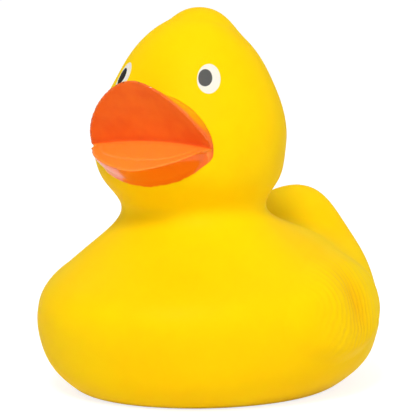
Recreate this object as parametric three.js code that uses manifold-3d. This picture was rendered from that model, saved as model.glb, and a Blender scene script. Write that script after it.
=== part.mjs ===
// Rubber duck: a hollow bath duck of soft vinyl, moulded in one piece with a wide open beak,
// and a small squeaker pressed into a hole in its flat base.
//
// Millimetres, +Z up. The duck looks along -Y and its own left side is +X.
// It stands on Z = 0, and the origin is under the middle of its whole length.
// The skin is worked out from a form function: a value that is negative inside the duck,
// positive outside, and about the distance to the skin in between. Rings of rays are cast
// from the middle of the duck to where that value is zero.

import * as THREE from "three";
import { mergeVertices } from "three/addons/utils/BufferGeometryUtils.js";
import Module from "manifold-3d";

const { clamp, smoothstep, lerp } = THREE.MathUtils;

// Body, neck and head: level sections from the base up. Each is an oval with its rise above the
// section before it, its own half width, the place of its middle along Y, and its reach from there
// to the front and to the back.
const baseEdge = { rise: 0, halfWidth: 26.7, middle: 5.5, front: 30.2, back: 33.4 };
const lowerBelly = { rise: 4.5, halfWidth: 32.6, middle: 5.2, front: 35, back: 41.8 };
const belly = { rise: 6.5, halfWidth: 36, middle: 5, front: 38, back: 45.4 };
const chest = { rise: 7, halfWidth: 35.9, middle: 5, front: 40.1, back: 45.4 };
const upperChest = { rise: 6, halfWidth: 33.4, middle: 4.8, front: 37.2, back: 41.8 };
const shoulder = { rise: 6, halfWidth: 27.6, middle: 3.9, front: 27.4, back: 38 };
const neckFoot = { rise: 5.5, halfWidth: 20.4, middle: 2.1, front: 19.8, back: 27.4 };
const neck = { rise: 5.5, halfWidth: 16.6, middle: 0.3, front: 15, back: 12.6 };
const throat = { rise: 5.5, halfWidth: 19, middle: -1.2, front: 18.8, back: 18.6 };
const jaw = { rise: 5.5, halfWidth: 20.8, middle: -1.9, front: 20.6, back: 20.9 };
const cheek = { rise: 5, halfWidth: 21.2, middle: -1.9, front: 20.4, back: 21.3 };
const brow = { rise: 6, halfWidth: 20, middle: -1.2, front: 18.2, back: 19.6 };
const eyeLine = { rise: 6, halfWidth: 17.4, middle: -0.5, front: 15, back: 16.6 };
const forehead = { rise: 6, halfWidth: 13.7, middle: -0.3, front: 12, back: 13.6 };
const crownRise = 7.9;
const duckSections = stacked([
  baseEdge, lowerBelly, belly, chest, upperChest, shoulder, neckFoot,
  neck, throat, jaw, cheek, brow, eyeLine, forehead,
]);
const crownHeight = duckSections[duckSections.length - 1].height + crownRise;

// Crest: a low rounded cap on top of the head, with a crease in front and a smooth slope behind.
const crestMiddleY = 1.4;
const crestBelowCrown = 4.5;
const crestHalfWidth = 6.4;
const crestReachFront = 6.6;
const crestReachBack = 9.5;
const crestRise = 5.9;
const crestBlendFront = 1;
const crestBlendBack = 4;
const crestCreaseEnd = -3;
const crestSmoothStart = 5;

// Tail: a broad cone that leans back, with a rounded tip.
const tailRoot = { rise: 14, halfWidth: 30, middle: 22, front: 24, back: 27 };
const tailFoot = { rise: 8, halfWidth: 28, middle: 28.9, front: 18.5, back: 19.4 };
const tailLower = { rise: 5, halfWidth: 24.1, middle: 34.4, front: 14, back: 14.2 };
const tailMiddle = { rise: 5, halfWidth: 17.9, middle: 40.3, front: 10, back: 9.6 };
const tailUpper = { rise: 5, halfWidth: 11.8, middle: 44.6, front: 6.6, back: 6.4 };
const tailTipRise = 5;
const tailTipMiddle = 49;
const tailSections = stacked([tailRoot, tailFoot, tailLower, tailMiddle, tailUpper]);
const tailTipHeight = tailSections[tailSections.length - 1].height + tailTipRise;
const tailBlend = 4;

// Wings: a raised oval pad on each flank, with a shallow hollow behind its middle.
const wingMiddleY = 8;
const wingMiddleHeight = 20.3;
const wingHalfLength = 24;
const wingHalfHeight = 11.4;
const wingTilt = THREE.MathUtils.degToRad(9);
const wingRise = 1.3;
const wingEdge = 0.3;
const wingInnerSide = 7;
const wingOuterSide = 14;
const wingHollowY = 9;
const wingHollowHeight = 21;
const wingHollowHalfLength = 5;
const wingHollowHalfHeight = 6.5;
const wingHollowDepth = 1.1;

// Beak: an open bill. "Reach" is the distance forward of the head's middle, along -Y. Each bill has
// the half width, reach and height of its rim, the powers of the rim's curve seen from above and
// from in front, and the power of its oval outside. It also has that oval's height at its root,
// how fast it narrows behind the mouth's corners (it widens where this is negative), and how far
// its inside bows back.
const mouthBelowCrown = 27.9;
const mouthCornerStandOut = 1.6;
const mouthMiddleReach = 17.6;
const mouthMiddleRise = 1.2;
const billRootDepth = 5.8;
const upperBill = {
  side: 1,
  halfWidth: 15.1,
  tipReach: 26.6,
  height: 14.7,
  planPower: 1.9,
  archPower: 1.55,
  roundPower: 1.8,
  rootReach: 17,
  rootHeight: 11,
  flare: 1.1,
  vault: 0.3,
};
const lowerBill = {
  side: -1,
  halfWidth: 13.6,
  tipReach: 26.8,
  height: 4.5,
  planPower: 2.27,
  archPower: 1.43,
  roundPower: 1.87,
  rootReach: 20,
  rootHeight: 8.1,
  flare: -0.8,
  vault: 0.1,
};
const lipWidth = 0.1;
const lipDrop = 0.3;
const tongueRise = 0.5;
const tongueHalfWidth = 11.6;
const tongueHeight = 3.4;
const tonguePower = 1.8;
const tongueEdge = 0.12;
const tongueStart = 1;

// Vinyl skin, and the squeaker's hole in the base.
const skinThickness = 2;
const baseThickness = 3;
const holeRadius = 6;
const recessLip = 2.2;
const recessDepth = 1.2;
const holeMiddleY = 5.5;
const fitGap = 0.25;

// Squeaker: a flanged plug with a reed chamber, open to the air at both ends.
const flangeGap = 0.6;
const flangeAboveFloor = 0.15;
const barbCatch = 0.8;
const barbTaper = 1.2;
const barbHeight = 3.4;
const chamberWall = 1.2;
const chamberRadius = 3.6;
const squeakerTop = 10;
const airHoleRadius = 1.2;
const topHoleRadius = 1.8;
const reedSeat = 5.6;
const reedSeatWidth = 1.2;
const reedLift = 0.02;
const reedThickness = 0.4;
const reedSlotWidth = 0.4;
const reedTongueWidth = 2.2;
const reedTongueLength = 3.6;

// How finely the skins are divided.
const ringsOutside = 46;
const pointsAroundOutside = 64;
const ringsInside = 26;
const pointsAroundInside = 38;
const pointsAroundMouth = 52;
const roundPieceSides = 40;
const ringCrowding = 0.06;
const rayCrowding = 0.2;
const billRuns = [0, 0.4, 0.7, 0.94];
const mouthRises = [0.94, 0.8, 0.66, 0.54, 0.28, 0];
const mouthSpaceRises = [0, 0.3, 0.65, 1];
const rayStride = 0.8;
const longestRay = 80;
const halvings = 20;
const almostOne = 0.9999;

// The rays of one ring lie in a level surface that rises over the tail, so that a ring below the
// tail's tip passes under it and the next one passes over it.
const liftStart = 10;
const liftEnd = 48;
const liftOverTail = 20;
const liftFull = 24;

const yellow = new THREE.Color(0xfcd008);
const squeakerWhite = new THREE.Color(0xe9e7df);
const reedAmber = new THREE.Color(0xd9c08a);

// Sections with their heights above the floor, from the rise of each above the one before.
function stacked(sections) {
  let height = 0;
  return sections.map((section) => {
    height += section.rise;
    return { ...section, height };
  });
}

// A smooth curve through given points: a natural cubic spline, held level past its ends.
function smoothCurve(places, values) {
  const last = places.length - 1;
  const bends = new Array(last + 1).fill(0);
  const shares = new Array(last + 1).fill(0);
  for (let i = 1; i < last; i += 1) {
    const before = places[i] - places[i - 1];
    const after = places[i + 1] - places[i];
    const weight = before / (before + after);
    const pivot = weight * shares[i - 1] + 2;
    const turn = (values[i + 1] - values[i]) / after - (values[i] - values[i - 1]) / before;
    shares[i] = (weight - 1) / pivot;
    bends[i] = ((6 * turn) / (before + after) - weight * bends[i - 1]) / pivot;
  }
  for (let i = last - 1; i > 0; i -= 1) {
    bends[i] += shares[i] * bends[i + 1];
  }
  return (place) => {
    const p = clamp(place, places[0], places[last]);
    let i = 0;
    while (i < last - 1 && p > places[i + 1]) {
      i += 1;
    }
    const span = places[i + 1] - places[i];
    const b = (p - places[i]) / span;
    const a = 1 - b;
    const bending = (a ** 3 - a) * bends[i] + (b ** 3 - b) * bends[i + 1];
    return a * values[i] + b * values[i + 1] + (bending * span * span) / 6;
  };
}

// The lesser and the greater of two values, with the crease between them rounded off.
function smoothMin(a, b, blend) {
  const near = Math.max(blend - Math.abs(a - b), 0) / blend;
  return Math.min(a, b) - (near * near * blend) / 4;
}

function smoothMax(a, b, blend) {
  return -smoothMin(-a, -b, blend);
}

// The form of a stack of level oval sections that closes in a round tip above the last one.
function stackForm(sections, tipHeight, tipMiddle) {
  const heights = [...sections.map((s) => s.height), tipHeight];
  const top = sections[sections.length - 1];
  const squares = smoothCurve(heights, [...sections.map((s) => s.halfWidth ** 2), 0]);
  const middles = smoothCurve(heights, [...sections.map((s) => s.middle), tipMiddle]);
  const fronts = smoothCurve(heights, [...sections, top].map((s) => s.front / s.halfWidth));
  const backs = smoothCurve(heights, [...sections, top].map((s) => s.back / s.halfWidth));
  const step = 0.02;
  const tipSlope = -squares(tipHeight - step) / step;
  return (x, y, z) => {
    const above = Math.max(z - tipHeight, 0);
    const level = clamp(z, heights[0] + step, tipHeight - step);
    const square = squares(level) + above * tipSlope;
    const squareSlope = (squares(level + step) - squares(level - step)) / (2 * step);
    const middleSlope = (middles(level + step) - middles(level - step)) / (2 * step);
    const fromMiddle = y - middles(level);
    const stretch = fromMiddle < 0 ? fronts(level) : backs(level);
    const alongY = fromMiddle / stretch;
    const slopeY = (2 * alongY) / stretch;
    const slopeZ = squareSlope + slopeY * middleSlope;
    return (x * x + alongY * alongY - square) / Math.sqrt(4 * x * x + slopeY ** 2 + slopeZ ** 2 + 1);
  };
}

const trunkForm = stackForm(duckSections, crownHeight, forehead.middle);
const tailCone = stackForm(tailSections, tailTipHeight, tailTipMiddle);
const crestMiddleHeight = crownHeight - crestBelowCrown;
const mouthHeight = crownHeight - mouthBelowCrown;

function tailForm(x, y, z) {
  return smoothMax(tailCone(x, y, z), tailSections[0].height - z, tailBlend / 2);
}

function crestForm(x, y, z) {
  const reach = y < crestMiddleY ? crestReachFront : crestReachBack;
  const p = new THREE.Vector3(
    x / crestHalfWidth,
    (y - crestMiddleY) / reach,
    (z - crestMiddleHeight) / crestRise,
  );
  const slope = Math.hypot(p.x / crestHalfWidth, p.y / reach, p.z / crestRise);
  return ((p.length() - 1) * p.length()) / Math.max(slope, Number.EPSILON);
}

// How far the wing pad lifts the flank at a place on the side of the body.
function wingLift(x, y, z) {
  const along = (y - wingMiddleY) * Math.cos(wingTilt) + (z - wingMiddleHeight) * Math.sin(wingTilt);
  const across = (z - wingMiddleHeight) * Math.cos(wingTilt) - (y - wingMiddleY) * Math.sin(wingTilt);
  const padded = Math.hypot(along / wingHalfLength, across / wingHalfHeight);
  const hollowed = Math.hypot(
    (y - wingHollowY) / wingHollowHalfLength,
    (z - wingHollowHeight) / wingHollowHalfHeight,
  );
  const pad = wingRise * (1 - smoothstep(padded, 1 - wingEdge, 1));
  const hollow = wingHollowDepth * Math.exp(-hollowed * hollowed);
  return (pad - hollow) * smoothstep(Math.abs(x), wingInnerSide, wingOuterSide);
}

function skinForm(x, y, z) {
  const backward = smoothstep(y, crestCreaseEnd, crestSmoothStart);
  const crestBlend = lerp(crestBlendFront, crestBlendBack, backward);
  const head = smoothMin(trunkForm(x, y, z), crestForm(x, y, z), crestBlend);
  return smoothMin(head, tailForm(x, y, z), tailBlend) - wingLift(x, y, z);
}

// The place between two others where a form changes from inside to outside.
function edgeBetween(inside, outside, form) {
  let low = inside;
  let high = outside;
  for (let i = 0; i < halvings; i += 1) {
    const halfway = (low + high) / 2;
    if (form(halfway) < 0) {
      low = halfway;
    } else {
      high = halfway;
    }
  }
  return (low + high) / 2;
}

// The corners of the mouth stand out a little from the head's skin.
const mouthHalfWidth = upperBill.halfWidth;
const cheekReach = edgeBetween(0, longestRay, (reach) => trunkForm(mouthHalfWidth, -reach, mouthHeight));
const mouthCornerReach = cheekReach + mouthCornerStandOut;
const billRoot = mouthCornerReach - billRootDepth;

// The rim of one bill at a share of its half width, from 0 in the middle to 1 at the corner.
function rimReach(bill, share) {
  const forward = (1 - share ** bill.planPower) ** (1 / bill.planPower);
  return lerp(mouthCornerReach, bill.tipReach, forward);
}

function rimHeight(bill, share) {
  return mouthHeight + bill.side * bill.height * (1 - share ** bill.archPower) ** (1 / bill.archPower);
}

// The bill's outside is an oval at each reach, as high as this from the mouth line.
function billHeight(bill, reach) {
  const fromTip = (bill.tipReach - reach) / (bill.tipReach - bill.rootReach);
  return lerp(bill.height, bill.rootHeight, fromTip);
}

// The half width of that oval: behind the corners it narrows, in front it passes through the rim.
function billHalfWidth(bill, reach) {
  if (reach <= mouthCornerReach) {
    return bill.halfWidth - bill.flare * (mouthCornerReach - reach);
  }
  const forward = Math.min((reach - mouthCornerReach) / (bill.tipReach - mouthCornerReach), almostOne);
  const share = (1 - forward ** bill.planPower) ** (1 / bill.planPower);
  const rise = Math.abs(rimHeight(bill, share) - mouthHeight) / billHeight(bill, reach);
  return (bill.halfWidth * share) / (1 - rise ** bill.roundPower) ** (1 / bill.roundPower);
}

// The line across the back of the mouth where the two bills meet, at a share of the mouth's width.
function mouthLineReach(share) {
  return lerp(mouthMiddleReach, mouthCornerReach, share * share);
}

function mouthLineHeight(share) {
  return mouthHeight + mouthMiddleRise * (1 - share * share);
}

// The inside of the mouth, from the mouth line (rise 0) to the rim (rise 1).
function mouthReach(bill, share, rise) {
  const x = bill.halfWidth * share;
  const back = mouthLineReach(x / mouthHalfWidth);
  const rim = rimReach(bill, share);
  const plain = lerp(back, rim, (1 - bill.vault) * rise + bill.vault * rise * rise);
  if (bill.side > 0) {
    return plain;
  }
  const drop = (mouthLineHeight(x / mouthHalfWidth) - rimHeight(bill, share)) * rise;
  const across = (x / tongueHalfWidth) ** tonguePower;
  const down = (drop / tongueHeight) ** tonguePower;
  const within = 1 - smoothstep(across + down, 1 - tongueEdge, 1 + tongueEdge);
  return plain + tongueRise * within * smoothstep(plain - back, 0, tongueStart);
}

function mouthPoint(bill, share, sideways, rise) {
  const x = bill.halfWidth * share;
  const height = lerp(mouthLineHeight(x / mouthHalfWidth), rimHeight(bill, share), rise);
  return new THREE.Vector3(x * sideways, -mouthReach(bill, share, rise), height);
}

// A point on the outside of a bill, from its root (run 0) to its rim (run 1).
function billPoint(bill, share, sideways, run) {
  const reach = lerp(billRoot, rimReach(bill, share), run);
  const halfWidth = billHalfWidth(bill, reach);
  const widest = reach < mouthCornerReach ? halfWidth : bill.halfWidth;
  const outward = Math.min((widest * share) / halfWidth, 1);
  const upward = (1 - outward ** bill.roundPower) ** (1 / bill.roundPower);
  const rise = billHeight(bill, reach) * upward;
  return new THREE.Vector3(halfWidth * outward * sideways, -reach, mouthHeight + bill.side * rise);
}

// A closed geometry from loops of points, each joined to the next, with a cap on the first and last.
// The loops turn anticlockwise about the way from the first loop to the last.
function loopGeometry(loops, firstCap, lastCap) {
  const around = loops[0].length;
  const points = [...loops.flat(), firstCap, lastCap];
  const first = loops.length * around;
  const last = first + 1;
  const faces = [];
  for (let j = 0; j < around; j += 1) {
    const next = (j + 1) % around;
    faces.push(first, next, j);
    const end = (loops.length - 1) * around;
    faces.push(last, end + j, end + next);
    for (let i = 0; i + 1 < loops.length; i += 1) {
      const low = i * around;
      const high = low + around;
      faces.push(low + j, low + next, high + next);
      faces.push(low + j, high + next, high + j);
    }
  }
  const geometry = new THREE.BufferGeometry();
  geometry.setAttribute("position", new THREE.Float32BufferAttribute(points.flatMap((p) => p.toArray()), 3));
  geometry.setIndex(faces);
  return geometry;
}

// The height of a ring's surface at a place along the duck.
function ringHeight(level, y) {
  const share = Math.max(y - liftStart, 0) / (liftEnd - liftStart);
  return level + liftOverTail * smoothstep(level, 0, liftFull) * share ** 3;
}

// The first place where the form turns positive, outwards from the middle of one ring.
function castPoint(form, level, middle, angle) {
  const x = Math.sin(angle);
  const y = -Math.cos(angle);
  const at = (r) => form(x * r, middle + y * r, ringHeight(level, middle + y * r));
  let outside = rayStride;
  while (outside < longestRay && at(outside) < 0) {
    outside += rayStride;
  }
  const r = edgeBetween(outside - rayStride, outside, at);
  return new THREE.Vector3(x * r, middle + y * r, ringHeight(level, middle + y * r));
}

// A closed skin of rings from a flat bottom to a point at the top.
function castSkin(form, bottom, top, rings, around) {
  const middles = smoothCurve(
    [...duckSections.map((s) => s.height), crownHeight],
    [...duckSections.map((s) => s.middle), forehead.middle],
  );
  const loops = [];
  for (let i = 0; i < rings; i += 1) {
    const share = i / rings;
    const level = lerp(bottom, top, share - ringCrowding * Math.sin(2 * Math.PI * share));
    const middle = middles(level);
    const loop = [];
    for (let j = 0; j < around; j += 1) {
      const turn = (j * 2 * Math.PI) / around;
      loop.push(castPoint(form, level, middle, turn - rayCrowding * Math.sin(2 * turn)));
    }
    loops.push(loop);
  }
  const foot = new THREE.Vector3(0, baseEdge.middle, bottom);
  const peak = new THREE.Vector3(0, loops[rings - 1].reduce((sum, p) => sum + p.y, 0) / around, top);
  return loopGeometry(loops, foot, peak);
}

// The highest point of a form above the middle of the crest.
function peakOf(form) {
  const inside = crestMiddleHeight - 2 * crestRise;
  const outside = crestMiddleHeight + 2 * crestRise;
  return edgeBetween(inside, outside, (height) => form(0, crestMiddleY, height));
}

// The hollow keeps one skin's thickness from the outside and from the inside of the mouth.
function hollowForm(x, y, z) {
  const bill = z > mouthHeight ? upperBill : lowerBill;
  const share = clamp(Math.abs(x) / bill.halfWidth, 0, almostOne);
  const line = mouthLineHeight((bill.halfWidth * share) / mouthHalfWidth);
  const rise = clamp((z - line) / (rimHeight(bill, share) - line), 0, 1);
  const behindMouth = mouthReach(bill, share, rise) - skinThickness;
  const high = billHeight(bill, rimReach(bill, share));
  const besideMouth = Math.hypot(x / mouthHalfWidth, (z - mouthHeight) / high) * high - high - skinThickness;
  const mouthBlock = Math.max(besideMouth, behindMouth + y);
  return smoothMax(skinForm(x, y, z) + skinThickness, -mouthBlock, skinThickness);
}

// The beak: its outside from the root to the rim, the rounded lip, then the inside of the mouth,
// which folds flat on the mouth line.
function aroundMouth(pointAt) {
  const loop = [];
  for (let j = 0; j < pointsAroundMouth; j += 1) {
    const angle = (j * 2 * Math.PI) / pointsAroundMouth;
    const bill = j <= pointsAroundMouth / 2 ? upperBill : lowerBill;
    loop.push(pointAt(bill, Math.abs(Math.cos(angle)), Math.sign(Math.cos(angle))));
  }
  return loop;
}

function lipPoint(bill, share, sideways) {
  const rim = billPoint(bill, share, sideways, 1);
  const within = mouthPoint(bill, share, sideways, 1 - lipWidth);
  const behind = billPoint(bill, share, sideways, 1 - lipWidth);
  const inward = within.add(behind).divideScalar(2).sub(rim).normalize();
  const fade = Math.sqrt(1 - share * share);
  return rim.addScaledVector(inward, lipDrop * fade);
}

function beakGeometry() {
  const loops = [
    ...billRuns.map((run) => aroundMouth((bill, share, side) => billPoint(bill, share, side, run))),
    aroundMouth(lipPoint),
    ...mouthRises.map((rise) => aroundMouth((bill, share, side) => mouthPoint(bill, share, side, rise))),
  ];
  const back = new THREE.Vector3(0, -billRoot, mouthHeight);
  const fold = new THREE.Vector3(0, -mouthMiddleReach, mouthHeight + mouthMiddleRise);
  return loopGeometry(loops, back, fold);
}

// The space of the open mouth, a little larger than the mouth itself, and on out to the front.
function mouthSpaceGeometry() {
  const growth = 0.5;
  const shift = new THREE.Vector3(0, growth, 0);
  const front = upperBill.tipReach + lowerBill.tipReach - mouthCornerReach;
  const loops = [
    ...mouthSpaceRises.map((rise) =>
      aroundMouth((bill, share, side) => mouthPoint(bill, share, side, rise).add(shift)),
    ),
    aroundMouth((bill, share, side) => mouthPoint(bill, share, side, 1).setY(-front)),
  ];
  const back = new THREE.Vector3(0, growth - mouthMiddleReach, mouthHeight + mouthMiddleRise);
  return loopGeometry(loops, back, new THREE.Vector3(0, -front, mouthHeight));
}

// Joining and cutting closed geometries.
const manifold = await Module();
manifold.setup();

function toSolid(geometry) {
  const plain = geometry.clone();
  plain.deleteAttribute("normal");
  plain.deleteAttribute("uv");
  const welded = mergeVertices(plain, 1e-4);
  const source = new manifold.Mesh({
    numProp: 3,
    vertProperties: new Float32Array(welded.getAttribute("position").array),
    triVerts: new Uint32Array(welded.getIndex().array),
  });
  return new manifold.Manifold(source);
}

function toGeometry(solid) {
  const result = solid.getMesh();
  const geometry = new THREE.BufferGeometry();
  geometry.setAttribute("position", new THREE.Float32BufferAttribute(result.vertProperties, 3));
  geometry.setIndex(new THREE.BufferAttribute(new Uint32Array(result.triVerts), 1));
  geometry.computeVertexNormals();
  return geometry;
}

function upright(radius, bottom, top) {
  const geometry = new THREE.CylinderGeometry(radius, radius, top - bottom, roundPieceSides);
  geometry.rotateX(Math.PI / 2);
  geometry.translate(0, holeMiddleY, (bottom + top) / 2);
  return geometry;
}

function duckShell() {
  const overlap = 1;
  const outer = toSolid(castSkin(skinForm, 0, peakOf(skinForm), ringsOutside, pointsAroundOutside));
  const inner = toSolid(
    castSkin(hollowForm, baseThickness, peakOf(hollowForm), ringsInside, pointsAroundInside),
  );
  const beak = toSolid(beakGeometry());
  const mouth = toSolid(mouthSpaceGeometry());
  const hole = toSolid(upright(holeRadius, -overlap, baseThickness + overlap));
  const recess = toSolid(upright(holeRadius + recessLip, -overlap, recessDepth));
  const solid = outer.subtract(mouth).add(beak).subtract(inner).subtract(hole).subtract(recess);
  const material = new THREE.MeshStandardMaterial({ color: yellow, roughness: 0.45, metalness: 0 });
  const mesh = new THREE.Mesh(toGeometry(solid), material);
  mesh.name = "duck_shell";
  return mesh;
}

// The squeaker's housing, turned about the hole's axis: flange, neck in the hole, barb and chamber.
function squeakerHousing() {
  const flangeRadius = holeRadius + recessLip - flangeGap;
  const flangeTop = recessDepth - fitGap;
  const neckRadius = holeRadius - fitGap;
  const neckTop = baseThickness + fitGap;
  const barbRadius = holeRadius + barbCatch;
  const barbTop = neckTop + barbHeight;
  const chamberFloor = flangeTop + chamberWall;
  const roof = squeakerTop - chamberWall;
  const seatRadius = chamberRadius - reedSeatWidth;
  const profile = [
    [airHoleRadius, flangeAboveFloor],
    [flangeRadius, flangeAboveFloor],
    [flangeRadius, flangeTop],
    [neckRadius, flangeTop],
    [neckRadius, neckTop],
    [barbRadius, neckTop],
    [barbRadius - barbTaper, barbTop],
    [chamberRadius + chamberWall, barbTop],
    [chamberRadius + chamberWall, squeakerTop],
    [topHoleRadius, squeakerTop],
    [topHoleRadius, roof],
    [chamberRadius, roof],
    [chamberRadius, reedSeat],
    [seatRadius, reedSeat],
    [seatRadius, chamberFloor],
    [airHoleRadius, chamberFloor],
    [airHoleRadius, flangeAboveFloor],
  ];
  const geometry = new THREE.LatheGeometry(profile.map(([r, z]) => new THREE.Vector2(r, z)), roundPieceSides);
  geometry.rotateX(Math.PI / 2);
  geometry.translate(0, holeMiddleY, 0);
  const material = new THREE.MeshStandardMaterial({ color: squeakerWhite, roughness: 0.5, metalness: 0 });
  const mesh = new THREE.Mesh(toGeometry(toSolid(geometry)), material);
  mesh.name = "squeaker_housing";
  return mesh;
}

// The reed: a thin disc on the seat in the chamber, with a tongue cut free on three sides.
function squeakerReed() {
  const bottom = reedSeat + reedLift;
  const top = bottom + reedThickness;
  const middle = (bottom + top) / 2;
  const tall = reedThickness * 3;
  let reed = toSolid(upright(chamberRadius - fitGap, bottom, top));
  for (const side of [-1, 1]) {
    const slot = new THREE.BoxGeometry(reedSlotWidth, reedTongueLength, tall);
    slot.translate((side * (reedTongueWidth + reedSlotWidth)) / 2, holeMiddleY, middle);
    reed = reed.subtract(toSolid(slot));
  }
  const tip = new THREE.BoxGeometry(reedTongueWidth + 2 * reedSlotWidth, reedSlotWidth, tall);
  tip.translate(0, holeMiddleY - (reedTongueLength - reedSlotWidth) / 2, middle);
  reed = reed.subtract(toSolid(tip));
  const material = new THREE.MeshStandardMaterial({ color: reedAmber, roughness: 0.4, metalness: 0 });
  const mesh = new THREE.Mesh(toGeometry(reed), material);
  mesh.name = "squeaker_reed";
  return mesh;
}

const duck = new THREE.Group();
duck.add(duckShell());
duck.add(squeakerHousing());
duck.add(squeakerReed());

// The origin goes under the middle of the whole length.
const extent = new THREE.Box3().setFromObject(duck);
duck.position.y = -(extent.min.y + extent.max.y) / 2;

export default duck;
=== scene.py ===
"""Rubber duck: its looks, light and camera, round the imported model.

The vinyl duck is one finely divided skin, worked out from a form function with the same sections as
the CAD solid: a value in millimetres that is negative inside the duck and positive outside. The fine
feather ripples on the wings and the softened base edge are only here, and the lips of the bill are
rounder than the solid's. The squeaker's two pieces keep their CAD shape.
"""

import math
from types import SimpleNamespace

import bpy
import numpy as np
from mathutils import Matrix, Vector


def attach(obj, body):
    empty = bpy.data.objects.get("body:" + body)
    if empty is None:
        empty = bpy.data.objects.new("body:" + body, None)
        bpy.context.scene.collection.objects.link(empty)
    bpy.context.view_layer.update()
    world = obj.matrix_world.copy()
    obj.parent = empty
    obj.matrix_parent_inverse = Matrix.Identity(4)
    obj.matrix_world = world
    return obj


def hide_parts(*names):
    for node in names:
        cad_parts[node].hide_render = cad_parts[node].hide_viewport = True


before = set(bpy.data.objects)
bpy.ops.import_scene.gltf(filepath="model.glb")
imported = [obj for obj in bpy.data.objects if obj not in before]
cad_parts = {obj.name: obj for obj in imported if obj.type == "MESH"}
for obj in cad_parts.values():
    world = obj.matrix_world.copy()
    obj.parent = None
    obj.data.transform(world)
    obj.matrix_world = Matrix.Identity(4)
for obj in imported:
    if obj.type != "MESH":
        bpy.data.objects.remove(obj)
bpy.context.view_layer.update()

MILLIMETRE = 0.001

# The form's zero along Y lies this far in front of the frame's own.
FORM_BACK = -8.0392

# Level sections of the body, neck and head: height, half width, middle along Y, reach from there to
# the front and to the back.
DUCK_SECTIONS = [
    (0, 26.7, 5.5, 30.2, 33.4),
    (4.5, 32.6, 5.2, 35, 41.8),
    (11, 36, 5, 38, 45.4),
    (18, 35.9, 5, 40.1, 45.4),
    (24, 33.4, 4.8, 37.2, 41.8),
    (30, 27.6, 3.9, 27.4, 38),
    (35.5, 20.4, 2.1, 19.8, 27.4),
    (41, 16.6, 0.3, 15, 12.6),
    (46.5, 19, -1.2, 18.8, 18.6),
    (52, 20.8, -1.9, 20.6, 20.9),
    (57, 21.2, -1.9, 20.4, 21.3),
    (63, 20, -1.2, 18.2, 19.6),
    (69, 17.4, -0.5, 15, 16.6),
    (75, 13.7, -0.3, 12, 13.6),
]
CROWN_HEIGHT = 82.9
CROWN_MIDDLE = -0.3
CREST_CENTRE = (0, 1.4, 78.4)
CREST_HALF_WIDTH = 6.4
CREST_REACH_FRONT = 6.6
CREST_REACH_BACK = 9.5
CREST_RISE = 5.9
CREST_BLEND_FRONT = 1
CREST_BLEND_BACK = 4
CREST_BLEND_CHANGE = (-3, 5)

# Level sections of the upturned tail, in the same order.
TAIL_SECTIONS = [
    (14, 30, 22, 24, 27),
    (22, 28, 28.9, 18.5, 19.4),
    (27, 24.1, 34.4, 14, 14.2),
    (32, 17.9, 40.3, 10, 9.6),
    (37, 11.8, 44.6, 6.6, 6.4),
]
TAIL_TIP_HEIGHT = 42
TAIL_TIP_MIDDLE = 49
TAIL_BLEND = 4
BASE_ROUNDING = 1.2

# Wings: a raised oval pad with a hollow in it, and feather ripples in arcs round a point in front.
WING_MIDDLE = (8, 20.3)
WING_HALF_SIZE = (24, 11.4)
WING_TILT = math.radians(9)
WING_RISE = 1.3
WING_EDGE = 0.3
WING_SIDES = (7, 14)
WING_HOLLOW = (9, 21)
WING_HOLLOW_HALF_SIZE = (5, 6.5)
WING_HOLLOW_DEPTH = 1.1
RIPPLE_CENTRE = (-12, 24)
RIPPLE_PITCH = 2.9
RIPPLE_DEPTH = 0.04
RIPPLE_START = (10, 15)
FINE_RIPPLE_PITCH = 1.9
FINE_RIPPLE_WAVER = 7
FINE_RIPPLE_CENTRE = (5, 19)
FINE_RIPPLE_SPREAD = (18, 15)
FINE_RIPPLE_EDGE = (0, 0.7)

# The ripples' arcs waver by two waves: size, and the turn per millimetre along Y and upward.
RIPPLE_WAVERS = [
    (0.35, 0.23, 0.7),
    (0.2, -0.4, 1.31),
]

# Beak: the two bills of the open mouth. "Reach" is the distance forward, along -Y. The three powers
# shape a bill's plan, its rim's arch and its ovals. Behind the corners a flare above zero narrows the
# bill and one below zero widens it, and the vault bends its inside.
MOUTH_HEIGHT = 55
MOUTH_HALF_WIDTH = 15.1
MOUTH_CORNER_REACH = 17.8
MOUTH_MIDDLE_REACH = 17.6
MOUTH_MIDDLE_RISE = 1.2
MOUTH_FOLD_ROUNDING = 0.3
BILL_ROOT = 12
UPPER_BILL = SimpleNamespace(
    side=1,
    half_width=15.1,
    tip=26.6,
    height=14.7,
    plan_power=1.9,
    arch_power=1.55,
    round_power=1.8,
    root_reach=17,
    root_height=11,
    flare=1.1,
    vault=0.3,
)
LOWER_BILL = SimpleNamespace(
    side=-1,
    half_width=13.6,
    tip=26.8,
    height=4.5,
    plan_power=2.27,
    arch_power=1.43,
    round_power=1.87,
    root_reach=20,
    root_height=8.1,
    flare=-0.8,
    vault=0.1,
)
BILL_BLEND = 0.9
BILL_SEAM = (-1, 0.25)
PAINT_SEAM = (-2.8, 0.2)
LIP_BLEND = 0.68
TONGUE_RISE = 0.5
TONGUE_HALF_WIDTH = 11.9
TONGUE_HEIGHT = 3.6
TONGUE_POWER = 1.8
TONGUE_EDGE = 0.1
TONGUE_START = (0, 1)

# The mouth's cut: how far past the rim its inside is followed, as a share of the rim's height, how
# steep its value is, and how far it reaches past the outside of the bills.
MOUTH_RISE_LIMIT = 1.6
MOUTH_STEEPNESS = 0.75
MOUTH_PAST_BILLS = 1

# The squeaker's recess and hole in the base, and the room for the squeaker behind it.
HOLE_MIDDLE = 5.5
RECESS_RADIUS = 8.2
RECESS_DEPTH = 1.2
HOLE_RADIUS = 6
BASE_THICKNESS = 3
HOLE_PAST_BASE = 1
CHAMBER_RADIUS = 9
CHAMBER_TOP = 12
CUT_BLEND = 0.4

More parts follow.
